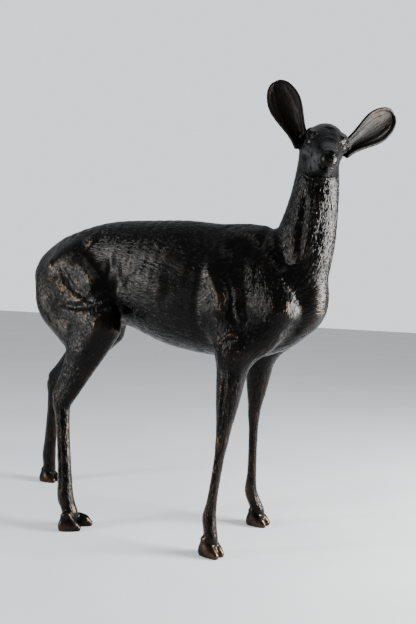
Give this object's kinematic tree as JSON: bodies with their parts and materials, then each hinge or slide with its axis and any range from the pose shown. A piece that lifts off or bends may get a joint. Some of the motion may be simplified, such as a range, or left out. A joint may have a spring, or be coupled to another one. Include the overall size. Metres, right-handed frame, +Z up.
{
  "type": "deer statue",
  "caption": "Life-size hollow-cast bronze doe standing on its own hooves, head turned to its right, ears spread, one hind leg set back; dark waxed patina with rubbed golden edges.",
  "frame": {"origin": "middle of the footprint box, on the plane of the soles", "axes": "+X towards the doe's chest, +Y to the doe's left, +Z up"},
  "size_m": [0.9874, 0.339, 1.0133],
  "materials": {
    "bronze": "dark brown-black waxed bronze patina, satin, rubbed golden on ridges and hooves"
  },
  "bodies": {
    "root": {"deer": "bronze"}
  },
  "joints": []
}
